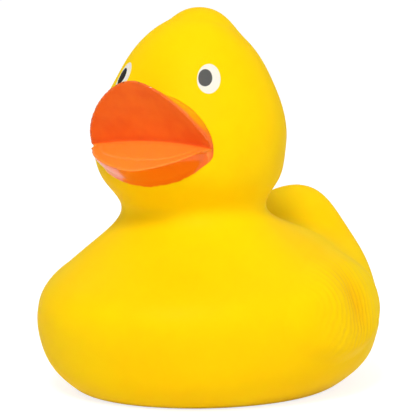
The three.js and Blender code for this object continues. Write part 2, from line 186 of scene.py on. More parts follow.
# Painted eyes: the white, with its long axis from foot to top, and the pupil on it. Only the skin
# near an eye is painted, down to a small depth behind its middle.
EYE_TOP = (9.9, -10.3, 72.5)
EYE_FOOT = (11.4, -13.6, 66.3)
EYE_HALF_WIDTH = 2.5
EYE_HALF_HEIGHT = 3.55
PUPIL_HALF_WIDTH = 1.5
PUPIL_HALF_HEIGHT = 2.05
NEAR_PUPIL_SHIFT = -0.78
FAR_PUPIL_SHIFT = 0.7
PUPIL_LIFT = 0.2
EYE_DEPTH = 3

# The beak's paint runs a little out over the skin, and round each corner of the mouth in a ball's
# outline. Behind the bills' root it ends.
PAINT_EDGE = 0.38
PAINT_END_STEEPNESS = 2
CORNER_PAINT = (11.5, -17.9, 54.5)
CORNER_PAINT_RADIUS = 2.9
CORNER_PAINT_BLEND = 1.2

# The skin's grid: its spacing, finer round the beak, and how far it and its fine part reach.
PLAIN_SPACING = 0.72
BEAK_SPACING = 0.42
SPACING_FADE = 3
GRID_HALF_WIDTH = 38.5
GRID_LENGTH = (-36.03, 53)
GRID_BEAK_LENGTH = (-27, -15)
GRID_HEIGHT = (-0.83, 86)
GRID_BEAK_HEIGHT = (48, 72)

# The least divisor, the greatest share, and the value that stands for far away.
NEARLY_NOTHING = 1e-6
ALMOST_ONE = 0.9999
FAR_OFF = 9


def smooth_step(value, low, high):
    share = np.clip((value - low) / (high - low), 0, 1)
    return share * share * (3 - 2 * share)


def smooth_min(first, second, blend):
    """The lesser of two values, with the crease between them rounded off."""
    near = np.maximum(blend - np.abs(first - second), 0) / blend
    return np.minimum(first, second) - near * near * blend / 4


def smooth_max(first, second, blend):
    return -smooth_min(-first, -second, blend)


def smooth_curve(places, values):
    """A natural cubic spline through the values, held level past its ends."""
    places = np.array(places, float)
    values = np.array(values, float)
    gaps = np.diff(places)
    slopes = np.diff(values) / gaps
    system = np.eye(len(places))
    right = np.zeros(len(places))
    for i in range(1, len(places) - 1):
        system[i, i - 1 : i + 2] = gaps[i - 1], 2 * (gaps[i - 1] + gaps[i]), gaps[i]
        right[i] = 6 * (slopes[i] - slopes[i - 1])
    bends = np.linalg.solve(system, right)

    def curve(place):
        held = np.clip(place, places[0], places[-1])
        i = np.clip(np.searchsorted(places, held) - 1, 0, len(gaps) - 1)
        after = (held - places[i]) / gaps[i]
        before = 1 - after
        bending = (before**3 - before) * bends[i] + (after**3 - after) * bends[i + 1]
        return before * values[i] + after * values[i + 1] + bending * gaps[i] ** 2 / 6

    return curve


def stack_form(sections, tip_height, tip_middle):
    """The form of a stack of level oval sections that closes in a round tip."""
    rows = np.array(sections, float)
    heights = [*rows[:, 0], tip_height]
    stretch = rows[:, 3:5] / rows[:, 1:2]
    squares = smooth_curve(heights, [*rows[:, 1] ** 2, 0])
    middles = smooth_curve(heights, [*rows[:, 2], tip_middle])
    fronts = smooth_curve(heights, [*stretch[:, 0], stretch[-1, 0]])
    backs = smooth_curve(heights, [*stretch[:, 1], stretch[-1, 1]])
    step = 0.02
    tip_slope = -squares(tip_height - step) / step

    def form(x, y, z):
        level = np.clip(z, heights[0] + step, tip_height - step)
        square = squares(level) + np.maximum(z - tip_height, 0) * tip_slope
        square_slope = (squares(level + step) - squares(level - step)) / (2 * step)
        middle_slope = (middles(level + step) - middles(level - step)) / (2 * step)
        from_middle = y - middles(level)
        stretched = np.where(from_middle < 0, fronts(level), backs(level))
        along = from_middle / stretched
        slope_y = 2 * along / stretched
        slope_z = square_slope + slope_y * middle_slope
        return (x * x + along * along - square) / np.sqrt(4 * x * x + slope_y**2 + slope_z**2 + 1)

    return form


trunk_form = stack_form(DUCK_SECTIONS, CROWN_HEIGHT, CROWN_MIDDLE)
tail_cone = stack_form(TAIL_SECTIONS, TAIL_TIP_HEIGHT, TAIL_TIP_MIDDLE)


def oval_form(parts, sizes):
    """About the distance to an oval, from the offsets along its axes and its half sizes."""
    scaled = np.sqrt(sum((part / size) ** 2 for part, size in zip(parts, sizes)))
    slope = np.sqrt(sum((part / size**2) ** 2 for part, size in zip(parts, sizes)))
    return (scaled - 1) * scaled / np.maximum(slope, NEARLY_NOTHING)


def wing_hollow_share(y, z):
    """How much of the wing's hollow there is, from none to all, seen from the side."""
    along = (y - WING_HOLLOW[0]) / WING_HOLLOW_HALF_SIZE[0]
    upward = (z - WING_HOLLOW[1]) / WING_HOLLOW_HALF_SIZE[1]
    return np.exp(-(np.hypot(along, upward) ** 2))


def wing_lift(x, y, z):
    """How far the wing's pad, hollow and feather ripples lift the flank."""
    turned_y = (y - WING_MIDDLE[0]) * math.cos(WING_TILT) + (z - WING_MIDDLE[1]) * math.sin(WING_TILT)
    turned_z = (z - WING_MIDDLE[1]) * math.cos(WING_TILT) - (y - WING_MIDDLE[0]) * math.sin(WING_TILT)
    padded = np.hypot(turned_y / WING_HALF_SIZE[0], turned_z / WING_HALF_SIZE[1])
    pad_share = 1 - smooth_step(padded, 1 - WING_EDGE, 1)
    from_shoulder = np.hypot(y - RIPPLE_CENTRE[0], z - RIPPLE_CENTRE[1])
    waver = sum(size * np.sin(z * upward + y * along) for size, along, upward in RIPPLE_WAVERS)
    phase = (from_shoulder + waver) / RIPPLE_PITCH
    ripple = RIPPLE_DEPTH * (0.5 + 0.5 * np.cos(2 * math.pi * phase)) ** 2
    ripple = ripple * pad_share * smooth_step(from_shoulder, *RIPPLE_START)
    lift = WING_RISE * pad_share - WING_HOLLOW_DEPTH * wing_hollow_share(y, z) - ripple
    return lift * smooth_step(np.abs(x), *WING_SIDES)


def rim_reach(bill, share):
    """How far forward the rim of a bill is at a share of its half width."""
    forward = (1 - share**bill.plan_power) ** (1 / bill.plan_power)
    return MOUTH_CORNER_REACH + (bill.tip - MOUTH_CORNER_REACH) * forward


def rim_height(bill, share):
    """How high the rim of a bill is at a share of its half width."""
    arch = (1 - share**bill.arch_power) ** (1 / bill.arch_power)
    return MOUTH_HEIGHT + bill.side * bill.height * arch


def bill_height(bill, reach):
    """How tall a bill's oval is at a reach, from its root to its tip."""
    from_tip = (bill.tip - reach) / (bill.tip - bill.root_reach)
    return bill.height + (bill.root_height - bill.height) * from_tip


def bill_half_width(bill, reach):
    """Behind the mouth's corners the bill narrows or flares, in front it passes through the rim."""
    along = (reach - MOUTH_CORNER_REACH) / (bill.tip - MOUTH_CORNER_REACH)
    share = (1 - np.clip(along, 0, ALMOST_ONE) ** bill.plan_power) ** (1 / bill.plan_power)
    rise = np.abs(rim_height(bill, share) - MOUTH_HEIGHT) / bill_height(bill, reach)
    in_front = bill.half_width * share / (1 - rise**bill.round_power) ** (1 / bill.round_power)
    return in_front - bill.flare * np.maximum(MOUTH_CORNER_REACH - reach, 0)


def bill_form(bill, x, y, z):
    """The outside of one bill: an oval at each reach."""
    reach = np.clip(-y, BILL_ROOT, bill.tip)
    half_width = bill_half_width(bill, reach)
    height = bill_height(bill, reach)
    power = bill.round_power
    outward = np.abs(x) / half_width
    upward = np.abs(z - MOUTH_HEIGHT) / height
    total = np.maximum(outward**power + upward**power, NEARLY_NOTHING)
    slope = np.hypot(outward ** (power - 1) / half_width, upward ** (power - 1) / height)
    slope = slope * total ** (1 / power - 1)
    return (total ** (1 / power) - 1) / np.maximum(slope, NEARLY_NOTHING)


def bills_form(x, y, z, seam=BILL_SEAM):
    """The outside of both bills, which pass into each other along the seam at the mouth's height."""
    above = smooth_step(z - MOUTH_HEIGHT, *seam)
    upper = bill_form(UPPER_BILL, x, y, z)
    lower = bill_form(LOWER_BILL, x, y, z)
    return lower + (upper - lower) * above


def mouth_line(x):
    """The reach and the height of the fold at the back of the mouth."""
    share = np.clip(np.abs(x) / MOUTH_HALF_WIDTH, 0, 1)
    reach = MOUTH_MIDDLE_REACH + (MOUTH_CORNER_REACH - MOUTH_MIDDLE_REACH) * share**2
    return reach, MOUTH_HEIGHT + MOUTH_MIDDLE_RISE * (1 - share**2)


def mouth_reach(x, z):
    """How far forward the inside of the mouth is: the palate above, the lower bill and its pad below."""
    back, line = mouth_line(x)
    reach = back
    for bill in (UPPER_BILL, LOWER_BILL):
        share = np.clip(np.abs(x) / bill.half_width, 0, ALMOST_ONE)
        into = (z - line) * bill.side
        into = (into + np.hypot(into, MOUTH_FOLD_ROUNDING)) / 2
        rise = np.clip(into / np.abs(rim_height(bill, share) - line), 0, MOUTH_RISE_LIMIT)
        rim = rim_reach(bill, share)
        plain = (rim - back) * ((1 - bill.vault) * rise + bill.vault * rise**2)
        if bill is LOWER_BILL:
            across = (np.abs(x) / TONGUE_HALF_WIDTH) ** TONGUE_POWER
            down = (into / TONGUE_HEIGHT) ** TONGUE_POWER
            within = 1 - smooth_step(across + down, 1 - TONGUE_EDGE, 1 + TONGUE_EDGE)
            plain = plain + TONGUE_RISE * within * smooth_step(plain, *TONGUE_START)
        reach = reach + plain
    return reach


def cylinder_form(x, y, z, radius, top):
    """A round upright space from below the floor up to a height."""
    return np.maximum(np.hypot(x, y - HOLE_MIDDLE) - radius, z - top)


def head_and_body_form(x, y, z):
    """Body, neck and head, with the crest blended on."""
    crest_reach = np.where(y < CREST_CENTRE[1], CREST_REACH_FRONT, CREST_REACH_BACK)
    from_crest = [p - c for p, c in zip((x, y, z), CREST_CENTRE)]
    crest = oval_form(from_crest, (CREST_HALF_WIDTH, crest_reach, CREST_RISE))
    backward = smooth_step(y, *CREST_BLEND_CHANGE)
    blend = CREST_BLEND_FRONT + (CREST_BLEND_BACK - CREST_BLEND_FRONT) * backward
    return smooth_min(trunk_form(x, y, z), crest, blend)


def tail_form(x, y, z):
    """The tail, which ends level inside the body where its sections begin."""
    return smooth_max(tail_cone(x, y, z), TAIL_SECTIONS[0][0] - z, TAIL_BLEND / 2)


def add_beak(skin, x, y, z):
    """The skin with both bills added and the mouth cut out of them."""
    bills = smooth_max(bills_form(x, y, z), BILL_ROOT + y, BILL_BLEND)
    mouth = np.minimum((-y - mouth_reach(x, z)) * MOUTH_STEEPNESS, MOUTH_PAST_BILLS - bills)
    with_bills = smooth_max(smooth_min(skin, bills, BILL_BLEND), mouth, LIP_BLEND)
    return np.where(y < 0, with_bills, skin)


def squeaker_room(x, y, z):
    """The recess and the hole in the base, and the chamber above them."""
    recess = cylinder_form(x, y, z, RECESS_RADIUS, RECESS_DEPTH)
    hole = cylinder_form(x, y, z, HOLE_RADIUS, BASE_THICKNESS + HOLE_PAST_BASE)
    chamber = np.maximum(cylinder_form(x, y, z, CHAMBER_RADIUS, CHAMBER_TOP), BASE_THICKNESS - z)
    return np.minimum(np.minimum(recess, hole), chamber)


def duck_form(x, y, z):
    """The whole duck's outside, with the squeaker's room cut out of its base."""
    skin = smooth_min(head_and_body_form(x, y, z), tail_form(x, y, z), TAIL_BLEND)
    skin = add_beak(skin - wing_lift(x, y, z), x, y, z)
    skin = smooth_max(skin, -z, BASE_ROUNDING)
    return smooth_max(skin, -squeaker_room(x, y, z), CUT_BLEND)


def grid_places(low, high, fine_low, fine_high):
    """Places from low to high, closer together between fine_low and fine_high."""
    places = [low]
    while places[-1] < high:
        outside = max(fine_low - places[-1], places[-1] - fine_high, 0)
        share = min(outside / SPACING_FADE, 1)
        places.append(places[-1] + BEAK_SPACING + (PLAIN_SPACING - BEAK_SPACING) * share)
    return np.array(places)


def cut_edges(values, axes, axis):
    """The grid's edges along one axis that the surface cuts: start cell, cut point and facing."""
    inside = values < 0
    first = [slice(None)] * 3
    second = [slice(None)] * 3
    first[axis] = slice(None, -1)
    second[axis] = slice(1, None)
    start = np.argwhere(inside[tuple(first)] != inside[tuple(second)])
    end = start.copy()
    end[:, axis] += 1
    at_start = values[tuple(start.T)]
    at_end = values[tuple(end.T)]
    share = at_start / (at_start - at_end)
    point = np.stack([axes[k][start[:, k]] for k in range(3)], 1)
    point[:, axis] += share * (axes[axis][end[:, axis]] - axes[axis][start[:, axis]])
    return start, point, at_start < 0


def cells_round(start, axis):
    """The four grid cells that share each edge, in turn round it."""
    cells = []
    for offset in ((0, 0), (-1, 0), (-1, -1), (0, -1)):
        cell = start.copy()
        cell[:, (axis + 1) % 3] += offset[0]
        cell[:, (axis + 2) % 3] += offset[1]
        cells.append(cell)
    return cells


def surface_net(form, xs, ys, zs):
    """Points and four-cornered faces of the surface where the form is zero, on a grid.

    Each cell that the surface passes has one point, the mean of the cuts in its edges. Each cut edge
    has one face, between the points of the four cells round it.
    """
    values = form(xs[:, None, None], ys[None, :, None], zs[None, None, :])
    size = np.array(values.shape) - 1
    total = np.zeros((*size, 3))
    count = np.zeros(size)
    edges = []
    for axis in range(3):
        start, point, facing = cut_edges(values, (xs, ys, zs), axis)
        corners = cells_round(start, axis)
        for cell in corners:
            np.add.at(total, tuple(cell.T), point)
            np.add.at(count, tuple(cell.T), 1)
        edges.append((corners, facing))
    used = count > 0
    number = np.full(count.shape, -1)
    number[used] = np.arange(used.sum())
    points = total[used] / count[used][:, None]
    faces = []
    for corners, facing in edges:
        quad = np.stack([number[tuple(cell.T)] for cell in corners], 1)
        quad[~facing] = quad[~facing][:, ::-1]
        faces.append(quad)
    return points, np.concatenate(faces)


def slope_of(form, points, step=0.01):
    """The form's gradient at each point."""
    parts = []
    for axis in range(3):
        move = np.zeros(3)
        move[axis] = step
        ahead = form(*(points + move).T)
        behind = form(*(points - move).T)
        parts.append((ahead - behind) / (2 * step))
    return np.stack(parts, 1)


def settle(form, points, rounds=4, longest=0.25, flattest=0.2):
    """Moves the points along the form's slope until they lie on its surface."""
    for _ in range(rounds):
        slope = slope_of(form, points)
        steep = np.maximum((slope**2).sum(1), flattest)
        move = -slope * (form(*points.T) / steep)[:, None]
        length = np.linalg.norm(move, axis=1)
        move *= np.minimum(1, longest / np.maximum(length, NEARLY_NOTHING))[:, None]
        points = points + move
    return points


def eye_value(points, side, half_width, half_height, shift, lift):
    """About the distance outside an oval painted on one side of the head."""
    top = np.array(EYE_TOP)
    foot = np.array(EYE_FOOT)
    centre = (top + foot) / 2
    outward = slope_of(trunk_form, centre[None])[0]
    outward /= np.linalg.norm(outward)
    upward = (top - foot) / np.linalg.norm(top - foot)
    rearward = np.cross(upward, outward)
    rearward /= np.linalg.norm(rearward)
    mirrored = points * np.array([side, 1, 1]) - centre
    across = mirrored @ rearward - shift
    along = mirrored @ upward - lift
    value = oval_form((across, along), (half_width, half_height))
    behind = mirrored @ outward < -EYE_DEPTH
    return np.where(behind, FAR_OFF, value)


def add_values(mesh, name, values):
    layer = mesh.attributes.new(name, "FLOAT", "POINT")
    layer.data.foreach_set("value", np.ascontiguousarray(values, np.float32))


def add_beak_values(mesh, x, y, z):
    """The beak's paint, and how far a point is behind its rim, above its corners and below its fold."""
    from_corner = np.linalg.norm(np.stack([np.abs(x), y, z], 1) - CORNER_PAINT, axis=1)
    corner = from_corner - CORNER_PAINT_RADIUS + PAINT_EDGE
    bill_paint = smooth_min(bills_form(x, y, z, PAINT_SEAM), corner, CORNER_PAINT_BLEND)
    bill_paint = bill_paint + PAINT_END_STEEPNESS * np.maximum(y + BILL_ROOT, 0)
    add_values(mesh, "bill_paint", bill_paint)
    add_values(mesh, "behind_rim", np.clip(mouth_reach(x, z) + y, -FAR_OFF, FAR_OFF))
    add_values(mesh, "above_corner", z - MOUTH_HEIGHT)
    add_values(mesh, "below_fold", mouth_line(x)[1] - z)


def add_wing_values(mesh, x, y, z):
    """Where the wing's hollow and its fine ripples are."""
    on_side = smooth_step(np.abs(x), *WING_SIDES)
    from_centre = (y - FINE_RIPPLE_CENTRE[0], z - FINE_RIPPLE_CENTRE[1])
    spread = oval_form(from_centre, FINE_RIPPLE_SPREAD) / FINE_RIPPLE_SPREAD[0]
    add_values(mesh, "ripple_arc", np.hypot(y - RIPPLE_CENTRE[0], z - RIPPLE_CENTRE[1]))
    add_values(mesh, "wing_hollow", wing_hollow_share(y, z) * on_side)
    add_values(mesh, "ripple_share", smooth_step(-spread, *FINE_RIPPLE_EDGE) * on_side)


def add_eye_values(mesh, points):
    """How far each point is outside the white and the pupil of the nearer eye."""
    for name, half_width, half_height, near_shift, far_shift, lift in (
        ("eye_white", EYE_HALF_WIDTH, EYE_HALF_HEIGHT, 0, 0, 0),
        ("eye_pupil", PUPIL_HALF_WIDTH, PUPIL_HALF_HEIGHT, NEAR_PUPIL_SHIFT, FAR_PUPIL_SHIFT, PUPIL_LIFT),
    ):
        near = eye_value(points, 1, half_width, half_height, near_shift, lift)
        far = eye_value(points, -1, half_width, half_height, far_shift, lift)
        add_values(mesh, name, np.minimum(near, far))


def duck_mesh():
    """The skin's mesh, with smooth normals taken from the form."""
    across = grid_places(BEAK_SPACING / 2, GRID_HALF_WIDTH, 0, MOUTH_HALF_WIDTH)
    xs = np.concatenate([-across[::-1], across])
    ys = grid_places(*GRID_LENGTH, *GRID_BEAK_LENGTH)
    zs = grid_places(*GRID_HEIGHT, *GRID_BEAK_HEIGHT)
    points, faces = surface_net(duck_form, xs, ys, zs)
    points = settle(duck_form, points)
    normals = slope_of(duck_form, points)
    normals /= np.linalg.norm(normals, axis=1)[:, None]
    mesh = bpy.data.meshes.new("duck_vinyl")
    placed = (points + np.array([0, FORM_BACK, 0])) * MILLIMETRE
    mesh.from_pydata(placed, [], faces)
    mesh.shade_smooth()
    mesh.normals_split_custom_set_from_vertices(normals)
    add_beak_values(mesh, *points.T)
    add_wing_values(mesh, *points.T)
    add_eye_values(mesh, points)
    print("duck skin:", len(points), "points,", len(faces), "faces")
    return mesh


def build_duck():
    duck = bpy.data.objects.new("duck_vinyl", duck_mesh())
    duck.data.materials.append(vinyl_material())
    bpy.context.scene.collection.objects.link(duck)
    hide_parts("duck_shell")
    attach(duck, "root")


class Nodes:
    """Short calls for making the nodes of one material, or of the world."""

    def __init__(self, owner):
        self.owner = owner
        self.owner.use_nodes = True
        self.tree = self.owner.node_tree
        self.tree.nodes.clear()

    def add(self, kind, **settings):
        node = self.tree.nodes.new(kind)
        for key, value in settings.items():
            setattr(node, key, value)
        return node

    def put(self, value, socket):
        if isinstance(value, bpy.types.NodeSocket):
            self.tree.links.new(value, socket)
        else:
            socket.default_value = value

    def math(self, operation, first, second=0.0):
        node = self.add("ShaderNodeMath", operation=operation)
        self.put(first, node.inputs[0])
        self.put(second, node.inputs[1])
        return node.outputs[0]

    def times(self, first, second):
        return self.math("MULTIPLY", first, second)

    def ramp(self, value, low, high, start=0.0, end=1.0, curve="SMOOTHSTEP"):
        node = self.add("ShaderNodeMapRange", interpolation_type=curve)
        for socket, number in zip(node.inputs, (value, low, high, start, end)):
            self.put(number, socket)
        return node.outputs[0]

    def inside(self, value, edge, softness):
        """One where the value is under the edge and nothing where it is over it."""
        return self.ramp(value, edge - softness, edge + softness, 1.0, 0.0)

    def place(self, output="Object"):
        return self.add("ShaderNodeTexCoord").outputs[output]

    def part_of(self, place, axis):
        node = self.add("ShaderNodeSeparateXYZ")
        self.put(place, node.inputs[0])
        return node.outputs[axis]

    def noise(self, scale, detail=2.0, roughness=0.5):
        node = self.add("ShaderNodeTexNoise")
        self.put(self.place(), node.inputs["Vector"])
        node.inputs["Scale"].default_value = scale
        node.inputs["Detail"].default_value = detail
        node.inputs["Roughness"].default_value = roughness
        return node.outputs["Fac"]

    def value(self, name):
        return self.add("ShaderNodeAttribute", attribute_name=name).outputs["Fac"]

    def blend(self, share, first, second):
        """A colour between two colours."""
        node = self.add("ShaderNodeMix", data_type="RGBA")
        self.put(share, node.inputs["Factor"])
        self.put(first, node.inputs[6])
        self.put(second, node.inputs[7])
        return node.outputs[2]

    def mix(self, share, first, second):
        """A number between two numbers."""
        node = self.add("ShaderNodeMix", data_type="FLOAT")
        self.put(share, node.inputs[0])
        self.put(first, node.inputs[2])
        self.put(second, node.inputs[3])
        return node.outputs[0]

    def bump(self, height, distance, normal=None):
        node = self.add("ShaderNodeBump")
        node.inputs["Distance"].default_value = distance
        self.put(height, node.inputs["Height"])
        if normal is not None:
            self.put(normal, node.inputs["Normal"])
        return node.outputs["Normal"]

    def finish(self, shader, output="ShaderNodeOutputMaterial"):
        self.tree.links.new(shader.outputs[0], self.add(output).inputs["Surface"])
        return self.owner


YELLOW = (0.985, 0.63, 0.001, 1)
DEEP_YELLOW = (0.97, 0.585, 0.001, 1)
# The wing hollow's deeper yellow is painted shade.
HOLLOW_SHADE_YELLOW = (0.94, 0.42, 0.001, 1)
ORANGE = (0.9, 0.155, 0.016, 1)
DEEP_ORANGE = (0.84, 0.12, 0.014, 1)
# A lighter orange painted on the lower bill's top as the light falling on it.
PAINTED_LIGHT_ORANGE = (0.97, 0.265, 0.03, 1)
UNDER_ORANGE = (0.9, 0.15, 0.003, 1)
THIN_ORANGE = (0.96, 0.3, 0.004, 1)
# A darker orange painted into the mouth's fold as shade.
FOLD_SHADE_ORANGE = (0.75, 0.06, 0.008, 1)
EYE_WHITE = (0.79, 0.765, 0.67, 1)
NEAR_PUPIL = (0.1, 0.1, 0.095, 1)
FAR_PUPIL = (0.012, 0.011, 0.012, 1)

# How strong the painted shade in the wing hollow and in the mouth's fold, and the painted light on the
# lower bill, are where they are fullest, and how strong the varnish is.
HOLLOW_SHADE_SHARE = 0.6
FOLD_SHADE_SHARE = 0.4
LOWER_SHARE = 0.9
VARNISH_SHARE = 0.5

# Paint edges, in millimetres: how much they waver, the share of that round the eyes, and how softly
# they end.
PAINT_WAVER = 0.22
EYE_WAVER_SHARE = 0.6
PAINT_SOFTNESS = 0.08
EYE_SOFTNESS = 0.06

# Where the beak's shades begin and end, in millimetres: the thin paint on top, the painted shade of the
# dark fold, the painted light on the lower bill's top, its outside, and the matt palate.
THIN_BEHIND_RIM = (0.5, 2.4)
THIN_ABOVE_CORNER = (2.5, 6)
FOLD_SHADE_HEIGHTS = (-1.6, -0.1)
LOWER_HEIGHTS = (-0.2, 0.25)
OUTSIDE_BEHIND_RIM = (0.3, 1.2)
INSIDE_BEHIND_RIM = (0.02, 0.12)
PALATE_HEIGHTS = (0.2, 1.4)

# The parts of a noise that clouds, mottling and roughness follow, and its mean.
CLOUD_RANGE = (0.35, 0.7)
MOTTLE_RANGE = (0.3, 0.75)
ROUGHNESS_RANGE = (0.25, 0.75)
NOISE_MEAN = 0.5

# Roughness from the smoothest to the dullest places.
VINYL_ROUGHNESS = (0.5, 0.6)
PAINT_ROUGHNESS = (0.3, 0.4)

# Depths of the surface's fine relief, in metres.
GRAIN_DEPTH = 0.00002
SWELL_DEPTH = 0.00008
FINE_RIPPLE_DEPTH = 0.00005
PAINT_DEPTH = 0.00004


def paint_masks(nodes):
    """Where the skin is orange, white and dark: each is one in the paint and nothing outside."""
    waver = nodes.math("SUBTRACT", nodes.noise(scale=420, detail=2), NOISE_MEAN)
    waver = nodes.times(waver, PAINT_WAVER)
    eye_waver = nodes.times(waver, EYE_WAVER_SHARE)
    orange = nodes.inside(nodes.math("ADD", nodes.value("bill_paint"), waver), PAINT_EDGE, PAINT_SOFTNESS)
    white = nodes.inside(nodes.math("ADD", nodes.value("eye_white"), eye_waver), 0, EYE_SOFTNESS)
    dark = nodes.inside(nodes.math("ADD", nodes.value("eye_pupil"), eye_waver), 0, EYE_SOFTNESS)
    return orange, white, dark


def vinyl_colour(nodes):
    """Clouded yellow, with painted shade deepening it in the hollow of each wing."""
    cloud = nodes.ramp(nodes.noise(scale=38, detail=3, roughness=0.55), *CLOUD_RANGE)
    vinyl = nodes.blend(cloud, YELLOW, DEEP_YELLOW)
    # Painted shade: the yellow deepens in the wing's hollow.
    return nodes.blend(nodes.times(nodes.value("wing_hollow"), HOLLOW_SHADE_SHARE), vinyl, HOLLOW_SHADE_YELLOW)


def beak_colour(nodes):
    """Mottled orange: thin on top, painted shade in the fold, painted light on the lower bill and warm
    under it.
    """
    mottle = nodes.ramp(nodes.noise(scale=160, detail=3, roughness=0.6), *MOTTLE_RANGE)
    paint = nodes.blend(mottle, ORANGE, DEEP_ORANGE)
    behind = nodes.ramp(nodes.value("behind_rim"), *THIN_BEHIND_RIM)
    thin = nodes.times(behind, nodes.ramp(nodes.value("above_corner"), *THIN_ABOVE_CORNER))
    paint = nodes.blend(thin, paint, THIN_ORANGE)
    # Painted shade: the orange darkens towards the fold at the back of the mouth.
    fold = nodes.ramp(nodes.value("below_fold"), *FOLD_SHADE_HEIGHTS, 0.0, FOLD_SHADE_SHARE)
    paint = nodes.blend(fold, paint, FOLD_SHADE_ORANGE)
    # Painted light: the lower bill's top is lighter; its outside is a plain warm orange.
    below = nodes.ramp(nodes.value("below_fold"), *LOWER_HEIGHTS)
    outside = nodes.ramp(nodes.value("behind_rim"), *OUTSIDE_BEHIND_RIM)
    lower = nodes.blend(outside, PAINTED_LIGHT_ORANGE, UNDER_ORANGE)
    return nodes.blend(nodes.times(below, LOWER_SHARE), paint, lower)


def pupil_colour(nodes):
    """The near side's pupil is greyer than the far side's."""
    near = nodes.ramp(nodes.part_of(nodes.place(), "X"), -MILLIMETRE, MILLIMETRE)
    return nodes.blend(near, FAR_PUPIL, NEAR_PUPIL)


def vinyl_roughness(nodes, painted):
    """Dull vinyl and smoother paint, both a little uneven."""
    vinyl = nodes.ramp(nodes.noise(scale=90, detail=4, roughness=0.6), *ROUGHNESS_RANGE, *VINYL_ROUGHNESS)
    paint = nodes.ramp(nodes.noise(scale=220, detail=3, roughness=0.6), *ROUGHNESS_RANGE, *PAINT_ROUGHNESS)
    return nodes.mix(painted, vinyl, paint)


def vinyl_relief(nodes, painted):
    """The mould's grain, its slow unevenness, the fine feather ripples and the thickness of paint."""
    grain = nodes.bump(nodes.noise(scale=2600, detail=3, roughness=0.6), GRAIN_DEPTH)
    swell = nodes.bump(nodes.noise(scale=150, detail=2), SWELL_DEPTH, grain)
    waver = nodes.times(nodes.noise(scale=60, detail=3, roughness=0.6), FINE_RIPPLE_WAVER)
    arc = nodes.math("ADD", nodes.value("ripple_arc"), waver)
    ripple = nodes.math("SINE", nodes.times(arc, 2 * math.pi / FINE_RIPPLE_PITCH))
    feathers = nodes.bump(nodes.times(ripple, nodes.value("ripple_share")), FINE_RIPPLE_DEPTH, swell)
    return nodes.bump(painted, PAINT_DEPTH, feathers)


def varnish(nodes, orange):
    """How much varnish there is: on the orange paint, but not on the matt palate."""
    inside = nodes.ramp(nodes.value("behind_rim"), *INSIDE_BEHIND_RIM, 1.0, 0.0)
    palate = nodes.times(inside, nodes.ramp(nodes.value("below_fold"), *PALATE_HEIGHTS, 1.0, 0.0))
    return nodes.times(nodes.times(orange, nodes.math("SUBTRACT", 1.0, palate)), VARNISH_SHARE)


def vinyl_material():
    """Soft yellow vinyl, with the beak's orange and the eyes painted on it."""
    nodes = Nodes(bpy.data.materials.new("painted_vinyl"))
    orange, white, dark = paint_masks(nodes)
    painted = nodes.math("MAXIMUM", orange, white)
    colour = nodes.blend(orange, vinyl_colour(nodes), beak_colour(nodes))
    colour = nodes.blend(white, colour, EYE_WHITE)
    colour = nodes.blend(dark, colour, pupil_colour(nodes))
    shader = nodes.add("ShaderNodeBsdfPrincipled")
    nodes.put(colour, shader.inputs["Base Color"])
    nodes.put(vinyl_roughness(nodes, painted), shader.inputs["Roughness"])
    nodes.put(vinyl_relief(nodes, painted), shader.inputs["Normal"])
    nodes.put(varnish(nodes, orange), shader.inputs["Coat Weight"])
    shader.inputs["IOR"].default_value = 1.5
    shader.inputs["Specular IOR Level"].default_value = 0.03
    shader.inputs["Coat Roughness"].default_value = 0.08
    shader.inputs["Subsurface Weight"].default_value = 0.3
    shader.inputs["Subsurface Radius"].default_value = (1.0, 0.5, 0.05)
    shader.inputs["Subsurface Scale"].default_value = 0.003
    return nodes.finish(shader)


HOUSING_WHITE = (0.81, 0.79, 0.74, 1)
HOUSING_SHADE = (0.74, 0.72, 0.66, 1)
HOUSING_ROUGHNESS = 0.4
REED_AMBER = (0.69, 0.53, 0.25, 1)
REED_SHADE = (0.6, 0.45, 0.2, 1)
REED_ROUGHNESS = 0.25
PLASTIC_UNEVENNESS = 0.06
PLASTIC_GRAIN_DEPTH = 0.00001


def plastic_material(name, colour, other, roughness):
    """A moulded plastic: cloudy colour, a fine grain and a little uneven gloss."""
    nodes = Nodes(bpy.data.materials.new(name))
    clouded = nodes.blend(nodes.noise(scale=300, detail=3, roughness=0.6), colour, other)
    gloss = (roughness - PLASTIC_UNEVENNESS, roughness + PLASTIC_UNEVENNESS)
    uneven = nodes.ramp(nodes.noise(scale=700, detail=3, roughness=0.6), *ROUGHNESS_RANGE, *gloss)
    grain = nodes.bump(nodes.noise(scale=4000, detail=2), PLASTIC_GRAIN_DEPTH)
    shader = nodes.add("ShaderNodeBsdfPrincipled")
    nodes.put(clouded, shader.inputs["Base Color"])
    nodes.put(uneven, shader.inputs["Roughness"])
    nodes.put(grain, shader.inputs["Normal"])
    return nodes.finish(shader)


def finish_squeaker():
    """Gives the squeaker's two pieces their plastics."""
    for node, name, colour, other, roughness in (
        ("squeaker_housing", "squeaker_plastic", HOUSING_WHITE, HOUSING_SHADE, HOUSING_ROUGHNESS),
        ("squeaker_reed", "reed_plastic", REED_AMBER, REED_SHADE, REED_ROUGHNESS),
    ):
        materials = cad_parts[node].data.materials
        materials.clear()
        materials.append(plastic_material(name, colour, other, roughness))


# The floor's paper as the light finds it and as it is seen, and the glow that makes it look white.
FLOOR_REACH = 20
PAPER = (0.9, 0.9, 0.9, 1)
SEEN_PAPER = (0.4, 0.4, 0.4, 1)
SEEN_GLOW = 0.8

# The sky's strength low down and overhead, and as it is seen.
SKY_HEIGHTS = (-0.2, 1)
SKY_STRENGTHS = (0.48, 0.6)
SEEN_SKY = 1
WHITE = (1, 1, 1, 1)


